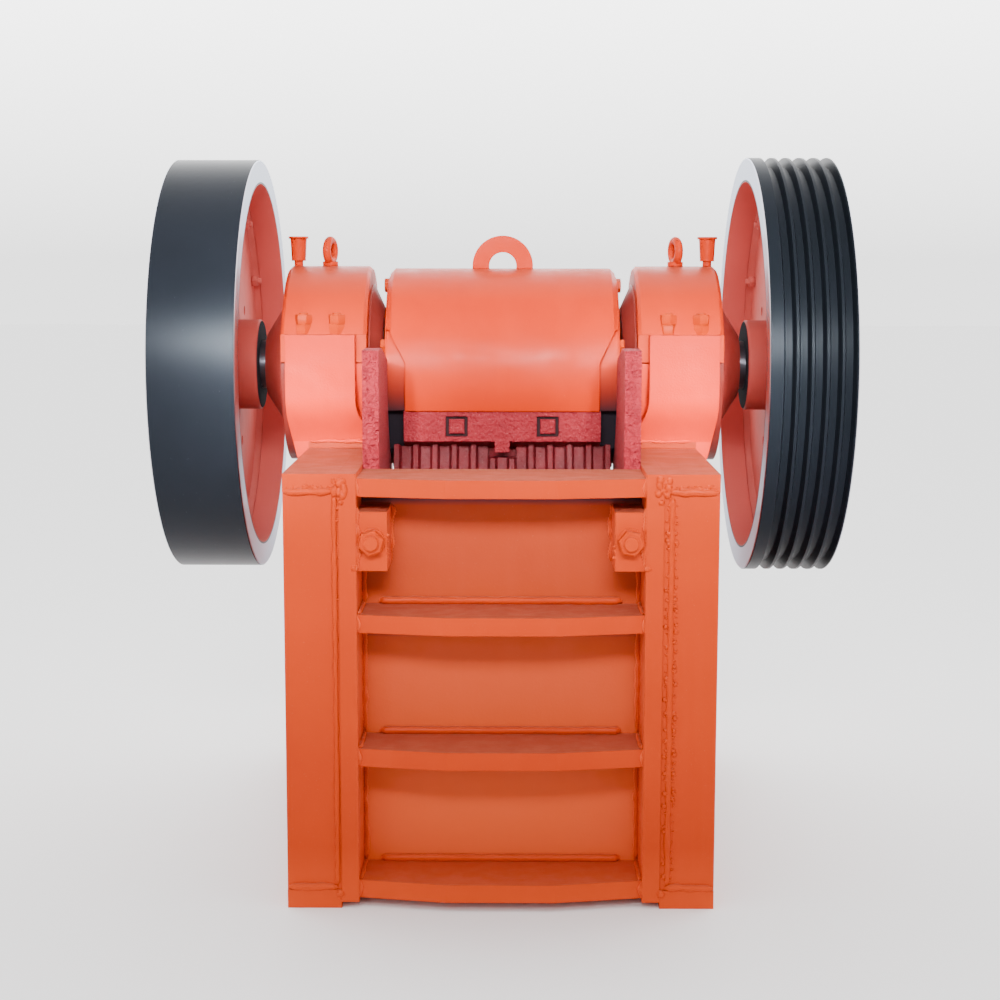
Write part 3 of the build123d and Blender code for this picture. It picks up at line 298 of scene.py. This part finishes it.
def bead(path, radius, rough, seed, pitch=0.005, sides=8):
    """Points and faces of a weld bead along the corner points of a path."""
    corners = [Vector(p) for p in path]
    stations = []
    for start, end in zip(corners, corners[1:]):
        steps = max(2, int((end - start).length / (pitch / 2)))
        stations += [start.lerp(end, k / steps) for k in range(steps)]
    stations.append(corners[-1])
    points, faces = [], []
    travelled = 0.0
    last = len(stations) - 1
    for index, place in enumerate(stations):
        ahead = stations[min(index + 1, last)] - stations[max(index - 1, 0)]
        across = ahead.orthogonal().normalized()
        upward = ahead.cross(across).normalized()
        if index:
            travelled += (place - stations[index - 1]).length
        swell = noise.noise(Vector((travelled * 60, seed * 7.3, 0.0)))
        wander = noise.noise(Vector((travelled * 45, seed * 3.1, 9.0)))
        ripple = 0.10 * math.cos(2 * math.pi * travelled / pitch)
        taper = min(1.0, 0.35 + 0.65 * min(index, last - index) / 3)
        thick = radius * taper * (1 + ripple * rough * 2 + swell * rough)
        middle = place + across * wander * radius * rough
        for k in range(sides):
            turn = 2 * math.pi * k / sides
            points.append(middle + (across * math.cos(turn) + upward * math.sin(turn)) * thick)
    for ring in range(last):
        for k in range(sides):
            a, b = ring * sides + k, ring * sides + (k + 1) % sides
            faces.append((a, b, b + sides, a + sides))
    faces.append(tuple(reversed(range(sides))))
    faces.append(tuple(range(last * sides, last * sides + sides)))
    return points, faces


def drop(place, radius):
    """A drop of weld metal."""
    points, faces = turned(8, [(0.3, -0.95), (0.8, -0.6), (1.0, 0.0), (0.8, 0.6), (0.3, 0.95)])
    return [Vector(place) + Vector(p) * radius for p in points], faces


def drops_along(start, end, radius, gap, seed):
    """Drops scattered along a line."""
    chance = random.Random(seed)
    line = Vector(end) - Vector(start)
    shapes = []
    travelled = chance.uniform(0, gap)
    while travelled < line.length:
        place = Vector(start) + line * (travelled / line.length)
        sway = Vector((chance.uniform(-1, 1), 0, chance.uniform(-1, 1))) * 0.0016
        shapes.append(drop(place + sway, radius * chance.uniform(0.5, 1.25)))
        travelled += gap * chance.uniform(0.4, 1.8)
    return shapes


def turned(sides, profile, spin=0.0):
    """A closed shape turned about +Z: (radius, height) pairs from its foot to its top."""
    points, faces = [], []
    for radius, height in profile:
        for k in range(sides):
            turn = spin + 2 * math.pi * k / sides
            points.append((radius * math.cos(turn), radius * math.sin(turn), height))
    for ring in range(len(profile) - 1):
        for k in range(sides):
            a, b = ring * sides + k, ring * sides + (k + 1) % sides
            faces.append((a, b, b + sides, a + sides))
    faces.append(tuple(reversed(range(sides))))
    faces.append(tuple(range(len(points) - sides, len(points))))
    return points, faces


def piece_of(name, body, material, shapes, crease=40.0):
    """Joins shapes into one piece that rides on a body; edges sharper than crease degrees stay sharp."""
    points, faces = [], []
    for shape_points, shape_faces in shapes:
        first = len(points)
        points += [tuple(p) for p in shape_points]
        faces += [tuple(first + k for k in face) for face in shape_faces]
    surface = bpy.data.meshes.new(name)
    surface.from_pydata(points, [], faces)
    surface.polygons.foreach_set("use_smooth", [True] * len(surface.polygons))
    surface.set_sharp_from_angle(angle=math.radians(crease))
    surface.materials.append(material)
    piece = bpy.data.objects.new(name, surface)
    bpy.context.scene.collection.objects.link(piece)
    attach(piece, body)
    return piece


front_welds = []
post_outer, post_inner = 0.340, 0.262
bracket_side_x, wall_face = 0.1785, -0.3745
for side in (-1, 1):
    seed = 10 + side
    flange_run = [(side * post_outer, -0.4785, 0.6745), (side * post_inner, -0.4785, 0.6755)]
    front_welds.append(bead(flange_run, 0.0060, 0.35, seed + 1))
    spatter = (side * 0.338, -0.479, 0.681), (side * post_inner, -0.479, 0.682)
    front_welds += drops_along(*spatter, 0.0036, 0.009, seed + 9)
    for heap_x in (0.262, 0.255, 0.248):
        heap = (side * heap_x, -0.4785, 0.694), (side * (heap_x - 0.002), -0.4785, 0.668)
        front_welds += drops_along(*heap, 0.0060, 0.005, seed + int(heap_x * 1000))
    foot_run = [(side * post_outer, -0.478, 0.0345), (side * post_inner, -0.478, 0.0345)]
    front_welds.append(bead(foot_run, 0.006, 0.4, seed + 3))
    front_welds.append(drop((side * 0.257, -0.4785, 0.024), 0.007))
    front_welds.append(drop((side * 0.2505, -0.4785, 0.6585), 0.0055))
    for index, rib_top in enumerate(rib_tops):
        rib_end = [(side * 0.2285, -0.4715, rib_top + 0.001)]
        rib_end.append((side * 0.228, -0.4735, rib_top - rib_thickness))
        front_welds.append(bead(rib_end, 0.0072, 0.4, seed + 5 * index + 20, 0.009))
        if index < 3:
            floor_z = rib_top - rib_pitch
            shelf = [(-0.199, -0.3765, floor_z + 0.0055), (0.197, -0.3765, floor_z + 0.0055)]
            if side < 0:
                front_welds.append(bead(shelf, 0.0068, 0.12, 40 + index))
            corner_top = 0.545 if index == 0 else rib_top - 0.031
            corner = [(side * 0.2235, wall_face, corner_top), (side * 0.2235, wall_face, floor_z + 0.003)]
            front_welds.append(bead(corner, 0.0048, 0.5, seed + 50 + index))
            shelf_side = [(side * 0.2245, seam_y, floor_z + 0.002) for seam_y in (-0.470, -0.380)]
            front_welds.append(bead(shelf_side, 0.004, 0.4, seed + 60 + index))
    bracket_outer = [(side * 0.2268, -0.4735, seam_z) for seam_z in (0.650, 0.552)]
    front_welds.append(bead(bracket_outer, 0.0042, 1.0, seed + 71))
    bracket_inner = [(side * bracket_side_x, wall_face, seam_z) for seam_z in (0.640, 0.550)]
    front_welds.append(bead(bracket_inner, 0.005, 1.0, seed + 72))
    bracket_edge = [(side * bracket_side_x, -0.470, seam_z) for seam_z in (0.606, 0.566)]
    front_welds += drops_along(*bracket_edge, 0.0028, 0.007, seed + 73)
    front_welds.append(drop((side * 0.231, -0.4775, 0.5535), 0.0062))
front_welds.append(bead([(-0.2615, -0.4775, 0.668), (-0.2615, -0.4763, 0.037)], 0.0044, 0.35, 81))
front_welds.append(bead([(0.267, -0.4755, 0.668), (0.267, -0.4755, 0.037)], 0.0056, 0.3, 82))
front_welds += drops_along((0.2605, -0.4775, 0.662), (0.2605, -0.4775, 0.04), 0.0034, 0.013, 83)
front_welds += drops_along((0.2745, -0.4775, 0.662), (0.2745, -0.4775, 0.04), 0.0032, 0.010, 84)
front_welds += drops_along((-0.2560, -0.4790, 0.655), (-0.2560, -0.4790, 0.50), 0.0022, 0.030, 85)
piece_of("front_welds", "frame", frame_orange, front_welds, 75.0)

side_welds = []
for side in (-1, 1):
    for index, rib_y in enumerate((-0.190, 0.061, 0.300)):
        for edge in (-1, 1):
            seam_y = rib_y + edge * 0.0115
            run = [(side * 0.2565, seam_y, 0.672), (side * 0.2565, seam_y, 0.033)]
            side_welds.append(bead(run, 0.0055, 0.4, 100 + index * 4 + side + edge, 0.007, 6))
    for z_place, y_end in ((0.6735, 0.370), (0.0315, 0.458)):
        run = [(side * 0.2565, -0.455, z_place), (side * 0.2565, y_end, z_place)]
        side_welds.append(bead(run, 0.0055, 0.4, 130 + side + int(z_place * 10), 0.007, 6))
    rear_seam = [(side * 0.2565, 0.4585, 0.508), (side * 0.2565, 0.4585, 0.033)]
    side_welds.append(bead(rear_seam, 0.0055, 0.4, 140 + side, 0.007, 6))
    for rear_rib in range(3):
        rib_z = 0.500 - 0.150 * rear_rib
        run = [(side * 0.226, 0.432, rib_z + 0.001), (side * 0.226, 0.477, rib_z + 0.001)]
        side_welds.append(bead(run, 0.0055, 0.5, 150 + side + 3 * rear_rib, 0.007, 6))
for rear_rib in range(3):
    rib_z = 0.500 - 0.150 * rear_rib
    run = [(-0.222, 0.4315, rib_z + 0.0015), (0.222, 0.4315, rib_z + 0.0015)]
    side_welds.append(bead(run, 0.0055, 0.3, 160 + rear_rib, 0.007, 6))
piece_of("side_welds", "frame", frame_orange, side_welds, 75.0)

# Nuts on the studs of the fixed jaw plate, with washers, on the corner blocks' front faces. Nuts,
# bolt heads and washers all come from these few turned and six-sided shapes.


def laid(shapes, place, direction, turn=0.0):
    """Moves shapes made about +Z to a place, with their +Z along a direction."""
    swing = Vector(direction).to_track_quat("Z", "Y").to_matrix().to_4x4()
    pose = Matrix.Translation(Vector(place)) @ swing @ Matrix.Rotation(turn, 4, "Z")
    return [([pose @ Vector(p) for p in points], faces) for points, faces in shapes]


def nut(flats, low, high):
    """A six-sided nut or bolt head between two heights, its corners cut back at both ends."""
    corner = flats / math.sqrt(3)
    cut = 0.12 * (high - low)
    profile = [(corner * 0.94, low), (corner, low + cut), (corner, high - cut), (corner * 0.88, high)]
    return turned(6, profile)


def rod(radius, low, high, edge=0.001):
    """A plain round rod or washer between two heights, with a small bevel at its top."""
    return turned(28, [(radius, low), (radius, high - edge), (radius - edge, high)])


bracket_bolts = []
for side, turn in ((-1, 0.30), (1, 0.85)):
    stack = [rod(0.0215, 0.0, 0.004), nut(0.036, 0.004, 0.022), rod(0.012, 0.022, 0.029, 0.002)]
    bracket_bolts += laid(stack, (side * 0.203, -0.472, 0.595), (0, -1, 0), turn)
crisp_edge = 0.0006
small_orange = enamel("small_orange", *frame_tones, 0.40, 0.001, 0.2, crisp_edge, 0.4)
piece_of("bracket_bolts", "frame", small_orange, bracket_bolts)

# Jaw plates, cheek plates and clamp bar are manganese steel castings with sand-cast skins, painted
# rose red: pitted and crazed on the skin, and smoother where stone or the grinder has been.


def casting(name, paint, deep, pits=0.8, gloss=0.5):
    """Paint over a sand-cast skin, with pits and fine cracks, and pale flecks scattered at random: partly
    lighter skin, partly painted glints of the rough paint.
    """
    material, shader = new_paint(name, 0.14)
    point = node_of(material, "ShaderNodeTexCoord").outputs["Object"]
    cells = node_of(material, "ShaderNodeTexVoronoi", Vector=point, Scale=190.0, Randomness=1.0)
    grains = reckon(material, "MULTIPLY", cells.outputs["Distance"], 1.4)
    lumps = blotches(material, 120.0, 0.25, 0.75, 5.0)
    tone = mixed(material, blotches(material, 30.0, 0.3, 0.7), paint, deep)
    # Pale flecks at random: partly lighter skin, partly painted glints.
    flecks_and_glints = blotches(material, 330.0, 0.60, 0.72, 3.0)
    pale_and_glint = tuple(min(1.0, c * 1.4 + 0.08) for c in paint)
    tone = mixed(material, reckon(material, "MULTIPLY", flecks_and_glints, 0.5), tone, pale_and_glint)
    material.node_tree.links.new(tone, shader.inputs["Base Color"])
    shader.inputs["Roughness"].default_value = gloss
    relief(material, shader, 0.0025, ((lumps, 0.004, pits), (grains, 0.002, pits * 0.6)))
    return material


rough_rose = casting("rough_rose", (0.46, 0.026, 0.042), (0.30, 0.016, 0.028), 1.7)
bar_rose = casting("bar_rose", (0.29, 0.017, 0.026), (0.22, 0.012, 0.019), 0.8)
# The jaw plates take a much darker copy of the rose paint: painted shade of the chamber between the cheek
# plates.
shaded_tooth_rose = casting("shaded_tooth_rose", (0.150, 0.0065, 0.011), (0.088, 0.0045, 0.0075), 0.35, 0.42)
# The cheek plates' side faces are painted paler: painted light on their shaded inner faces.
overpaint(rough_rose, turned_sideways(rough_rose), (0.60, 0.078, 0.094))
dress("cheek_plates", rough_rose)
dress("clamp_bar", bar_rose)
dress("fixed_jaw_plate", shaded_tooth_rose)
dress("moving_jaw_plate", shaded_tooth_rose)

# Two square-headed bolts pull the clamp bar against the swing jaw. Their heads fill the bar's
# pockets but for a dark gap all round.
pocket_shadow, shadow_shader = new_paint("pocket_shadow", 0.1)
shadow_shader.inputs["Base Color"].default_value = (0.03, 0.012, 0.014, 1)
shadow_shader.inputs["Roughness"].default_value = 0.9


def block(half_x, half_y, low, high, bevel=0.0015):
    """A square or oblong head between two heights, bevelled at its top."""
    points = []
    for grow, height in ((0.0, low), (0.0, high - bevel), (-bevel, high)):
        for x_sign, y_sign in ((-1, -1), (1, -1), (1, 1), (-1, 1)):
            points.append((x_sign * (half_x + grow), y_sign * (half_y + grow), height))
    faces = [(3, 2, 1, 0), (8, 9, 10, 11)]
    for ring in (0, 4):
        faces += [(ring + k, ring + (k + 1) % 4, ring + (k + 1) % 4 + 4, ring + k + 4) for k in range(4)]
    return points, faces


clamp_heads, pocket_floors = [], []
bar_face, bolt_height, pocket_floor = -0.110, 0.743, -0.0078
for bolt_x in (-0.080, 0.080):
    place = (bolt_x, bar_face, bolt_height)
    clamp_heads += laid([block(0.0135, 0.01275, pocket_floor, -0.0004)], place, (0, -1, 0))
    pocket_floors += laid([block(0.0193, 0.0178, pocket_floor, -0.0070, 0.0002)], place, (0, -1, 0))
piece_of("clamp_bolts", "swing", bar_rose, clamp_heads)
piece_of("clamp_pocket_floors", "swing", pocket_shadow, pocket_floors)

# Bearing housings: iron castings in a lighter coat, each with a duller pad welded to the flange. The round
# body beside the flange and the covers are painted dark red: painted shade, where the wheels and the swing
# jaw's barrel shade them. Four studs draw the cap down, each with a nut and a lock nut.
cast_edge, thin_dust_and_sheen = 0.003, 0.3
housing_tones = ((0.48, 0.027, 0.001), (0.44, 0.024, 0.001))
housing_coat = enamel("housing_coat", *housing_tones, 0.38, 0.003, 0.2, cast_edge, thin_dust_and_sheen)
pedestal_tones = ((0.58, 0.026, 0.006), (0.50, 0.021, 0.004))
pedestal_coat = enamel("pedestal_coat", *pedestal_tones, 0.46, 0.012, 0.5, cast_edge, thin_dust_and_sheen)


sideways, along, above = places(pedestal_coat)
pad_low = reckon(pedestal_coat, "LESS_THAN", above, 0.7145)
pad_inside = reckon(pedestal_coat, "LESS_THAN", sideways, 0.3423)
overpaint(pedestal_coat, reckon(pedestal_coat, "MULTIPLY", pad_low, pad_inside), (0.30, 0.022, 0.002))
# The round body behind the pedestal's front, beside the flange, is painted dark red: painted shade of the
# wheel.
fall = reckon(pedestal_coat, "MAXIMUM", reckon(pedestal_coat, "SUBTRACT", 0.795, above), 0.0)
back_line = reckon(pedestal_coat, "SUBTRACT", reckon(pedestal_coat, "MULTIPLY", fall, 0.45), 0.118)
shaded_body_behind = reckon(pedestal_coat, "GREATER_THAN", along, back_line)
body_outside = reckon(pedestal_coat, "GREATER_THAN", sideways, 0.3426)
overpaint(pedestal_coat, reckon(pedestal_coat, "MULTIPLY", shaded_body_behind, body_outside), (0.15, 0.016, 0.012))
pad_welds = []
for side in (-1, 1):
    for seam_y in (-0.0942, 0.2162):
        run = [(side * 0.229, seam_y, 0.7155), (side * 0.3385, seam_y, 0.7155)]
        pad_welds.append(bead(run, 0.0028, 1.1, 170 + side + int(seam_y * 20), 0.006, 6))
piece_of("pad_welds", "frame", pedestal_coat, pad_welds, 75.0)
for side_name in ("left", "right"):
    dress(side_name + "_pedestal", pedestal_coat)
    dress(side_name + "_cap", housing_coat)
for name in ("grease_cups", "cap_eyes"):
    dress(name, housing_coat)
# The covers are painted dark red: painted shade of the wheels and the barrel.
dark_red_tones = ((0.28, 0.036, 0.029), (0.23, 0.030, 0.024))
dark_red_coat = enamel("dark_red_coat", *dark_red_tones, 0.4, 0.003, 0.2, cast_edge, 0.2)
for name in ("outer_covers", "inner_covers"):
    dress(name, dark_red_coat)

cap_nuts = []
cap_seat = 0.904
chance = random.Random(5)
for side in (-1, 1):
    for stud_x in (0.290, 0.348):
        for stud_y in (-0.097, 0.219):
            for low, high in ((0.0, 0.0175), (0.0178, 0.0345)):
                turn = chance.uniform(0, math.pi / 3)
                cap_nuts += laid([nut(0.0265, low, high)], (side * stud_x, stud_y, cap_seat), (0, 0, 1), turn)
            cap_nuts += laid([rod(0.008, 0.0345, 0.0375)], (side * stud_x, stud_y, cap_seat), (0, 0, 1))
piece_of("cap_nuts", "frame", small_orange, cap_nuts)

# The swing jaw is one smooth casting, sprayed like the frame but glossier. Beside the clamp bar's ends and
# below its top it is painted near black: painted shade under the barrel. Six bolts hold the round cover on
# each end of its barrel.
casting_tones = ((0.53, 0.027, 0.0), (0.49, 0.023, 0.0))
casting_coat = enamel("casting_coat", *casting_tones, 0.38, 0.006, 0.15, cast_edge, thin_dust_and_sheen)
sideways, along, above = places(casting_coat)
# Beside the clamp bar's ends and below its top, the paint turns near black: painted shade.
beside_bar = ramp(casting_coat, sideways, 0.1695, 0.1725)
bar_top = reckon(casting_coat, "LESS_THAN", above, 0.769)
steel_ring_and_jaw_shade = reckon(casting_coat, "MAXIMUM", beside_bar, bar_top)
steel_ring_and_jaw_shade = reckon(casting_coat, "MULTIPLY", steel_ring_and_jaw_shade, ramp(casting_coat, above, 0.850, 0.765))
overpaint(casting_coat, steel_ring_and_jaw_shade, (0.022, 0.017, 0.023))
for name in ("swing_jaw", "swing_covers", "lifting_eye"):
    dress(name, casting_coat)
dress("rod_ears", dark_red_coat)

cover_bolts = []
bolt_circle, barrel_y, barrel_z = 0.158, 0.061, 0.832
for side in (-1, 1):
    for index in range(6):
        angle = math.radians(161 - 60 * index)
        outward = (bolt_circle * math.cos(angle), bolt_circle * math.sin(angle))
        place = (side * 0.206, barrel_y + outward[0], barrel_z + outward[1])
        cover_bolts += laid([nut(0.022, 0.0, 0.008)], place, (side, 0, 0), 0.4 * index)
piece_of("cover_bolts", "swing", small_orange, cover_bolts)

# Wheels: iron castings, their rims turned and sprayed black outside. Their end faces are bare turned steel
# and the inside of the rim, the web and the hub are orange red, the hub a darker red as painted shade, but
# for the hub's oiled face.
shaft_y, shaft_z = 0.061, 0.842


def wheel_places(material):
    """Two sockets: the distance from the shaft's axis and the distance from the machine's middle."""
    sideways, along, above = places(material)
    along = reckon(material, "SUBTRACT", along, shaft_y)
    above = reckon(material, "SUBTRACT", above, shaft_z)
    squares = (reckon(material, "MULTIPLY", along, along), reckon(material, "MULTIPLY", above, above))
    return reckon(material, "SQRT", reckon(material, "ADD", *squares)), sideways


def between(material, value, low, high):
    """A mask that is 1 where the value lies between two limits."""
    over = reckon(material, "GREATER_THAN", value, low)
    under = reckon(material, "LESS_THAN", value, high)
    return reckon(material, "MULTIPLY", over, under)


wheel_red = (0.55, 0.104, 0.090)
turned_steel = (0.50, 0.46, 0.50)


def rim_finish(name, inside, outside, shine):
    """Black outside, bare steel on both end faces, orange red inside, with a black inner edge."""
    material, shader = new_paint(name, shine)
    reach, sideways = wheel_places(material)
    ends = reckon(material, "SUBTRACT", 1.0, between(material, sideways, 0.4402, 0.5848))
    ring = between(material, reach, inside + 0.0035, outside - 0.0008)
    steel_ring_and_jaw_shade = reckon(material, "MULTIPLY", ends, ring)
    inner = reckon(material, "LESS_THAN", reach, inside + 0.0006)
    black = mixed(material, blotches(material, 3.0), (0.007, 0.009, 0.012), (0.010, 0.012, 0.017))
    scuffs = blotches(material, 150.0, 0.70, 0.80, 3.0, (1.0, 1.0, 0.6))
    black = mixed(material, reckon(material, "MULTIPLY", scuffs, 0.3), black, (0.08, 0.09, 0.11))
    tone = mixed(material, steel_ring_and_jaw_shade, black, turned_steel)
    tone = mixed(material, inner, tone, wheel_red)
    material.node_tree.links.new(tone, shader.inputs["Base Color"])
    material.node_tree.links.new(steel_ring_and_jaw_shade, shader.inputs["Metallic"])
    rough = mixed(material, steel_ring_and_jaw_shade, (0.36, 0.36, 0.36), (0.28, 0.28, 0.28))
    rough = mixed(material, inner, rough, (0.45, 0.45, 0.45))
    material.node_tree.links.new(rough, shader.inputs["Roughness"])
    shader.inputs["Specular Tint"].default_value = (0.80, 0.90, 1.0, 1)
    fine = blotches(material, 90.0, 0.2, 0.8, 3.0)
    relief(material, shader, 0.001, ((fine, 0.0005, 0.12),))
    return material


dress("flywheel_rim", rim_finish("flywheel_finish", 0.327, 0.370, 0.095))
dress("pulley_rim", rim_finish("pulley_finish", 0.332, 0.375, 0.045))

web_finish, web_shader = new_paint("web_finish")
reach, sideways = wheel_places(web_finish)
hub_ends = reckon(web_finish, "SUBTRACT", 1.0, between(web_finish, sideways, 0.4427, 0.5913))
web_tone = mixed(web_finish, blotches(web_finish, 8.0), wheel_red, (0.48, 0.088, 0.072))
# The hub is painted a darker red: painted shade, deep between the wheel and its housing.
hub_painted_shade = reckon(web_finish, "LESS_THAN", reach, 0.125)
web_tone = mixed(web_finish, hub_painted_shade, web_tone, (0.36, 0.055, 0.045))
web_tone = mixed(web_finish, hub_ends, web_tone, (0.022, 0.026, 0.034))
web_finish.node_tree.links.new(web_tone, web_shader.inputs["Base Color"])
web_gloss = ramp(web_finish, hub_ends, 0.0, 1.0, 0.52, 1.0)
web_finish.node_tree.links.new(web_gloss, web_shader.inputs["Roughness"])
web_waves = blotches(web_finish, 35.0, 0.2, 0.8, 3.0)
relief(web_finish, web_shader, 0.004, ((web_waves, 0.002, 0.3),))
for name in ("flywheel_web", "pulley_web", "counterweights"):
    dress(name, web_finish)

# Five bolts hold each counterweight: heads on its outer face, nuts on the web's inner face.
web_bolts = []
for side in (-1, 1):
    for index in range(5):
        angle = math.radians(30 + 30 * index)
        spot = (shaft_y + 0.298 * math.cos(angle), shaft_z + 0.298 * math.sin(angle))
        inner_end = [nut(0.019, 0.0, 0.012), rod(0.006, 0.012, 0.018)]
        web_bolts += laid(inner_end, (side * 0.496, *spot), (-side, 0, 0), index)
        spot = (shaft_y + 0.285 * math.cos(angle), shaft_z + 0.285 * math.sin(angle))
        outer_end = [rod(0.014, 0.0, 0.002), nut(0.019, 0.002, 0.012)]
        web_bolts += laid(outer_end, (side * 0.564, *spot), (side, 0, 0), index)
piece_of("web_bolts", "rotor", web_finish, web_bolts)


def bare_metal(name, tone, deep, gloss, metal=1.0):
    """Machined or plain metal with a little oil and dust in patches."""
    material, shader = new_paint(name, 0.5)
    mottled = mixed(material, blotches(material, 25.0, 0.3, 0.7), tone, deep)
    material.node_tree.links.new(mottled, shader.inputs["Base Color"])
    shader.inputs["Metallic"].default_value = metal
    shader.inputs["Roughness"].default_value = gloss
    relief(material, shader, 0.001, ((blotches(material, 220.0, 0.2, 0.8), 0.0004, 0.25),))
    return material


# The shaft is turned steel, dark with oil. A key stands in a slot of each hub's outer face.
shaft_steel = bare_metal("shaft_steel", (0.085, 0.085, 0.10), (0.055, 0.05, 0.062), 0.3)
dress("eccentric_shaft", shaft_steel)
keys = []
for side in (-1, 1):
    place = (side * 0.592, shaft_y, shaft_z + 0.047)
    keys += laid([block(0.011, 0.007, 0.0, 0.012)], place, (side, 0, 0), math.pi / 2)
piece_of("shaft_keys", "rotor", shaft_steel, keys)

# Toggle gear behind and below the jaw: plain iron blocks, a bright rod, and a coil of spring steel
# between two washers. The coil here is the same spring, wound smoothly.
dark_iron = bare_metal("dark_iron", (0.10, 0.09, 0.09), (0.06, 0.05, 0.05), 0.6, 0.0)
bright_steel = bare_metal("bright_steel", (0.42, 0.41, 0.42), (0.30, 0.28, 0.28), 0.35)
for name in ("toggle_plate", "jaw_toggle_seat", "frame_toggle_seat", "shim_pack", "adjusting_block"):
    dress(name, dark_iron)
for name in ("rod_pin", "tension_rod", "rod_nuts", "spring_washers"):
    dress(name, bright_steel)
coil_turns, coil_steps, coil_sides = 5, 28, 10
coil_start, coil_length = 0.440, 0.078
coil_points, coil_faces = [], []
for index in range(coil_turns * coil_steps + 1):
    share = index / coil_steps
    outward = Vector((math.cos(2 * math.pi * share), 0, math.sin(2 * math.pi * share)))
    middle = Vector((0, coil_start + coil_length * share / coil_turns, 0.080)) + outward * 0.028
    for k in range(coil_sides):
        turn = 2 * math.pi * k / coil_sides
        point = middle + outward * 0.006 * math.cos(turn) + Vector((0, 0.006 * math.sin(turn), 0))
        point.y = min(max(point.y, coil_start), coil_start + coil_length)
        coil_points.append(point)
for ring in range(coil_turns * coil_steps):
    for k in range(coil_sides):
        a, b = ring * coil_sides + k, ring * coil_sides + (k + 1) % coil_sides
        coil_faces.append((a, a + coil_sides, b + coil_sides, b))
coil_faces.append(tuple(range(coil_sides)))
coil_faces.append(tuple(reversed(range(len(coil_points) - coil_sides, len(coil_points)))))
spring_coil = piece_of("spring_coil", "frame", bright_steel, [(coil_points, coil_faces)])
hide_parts("tension_spring")
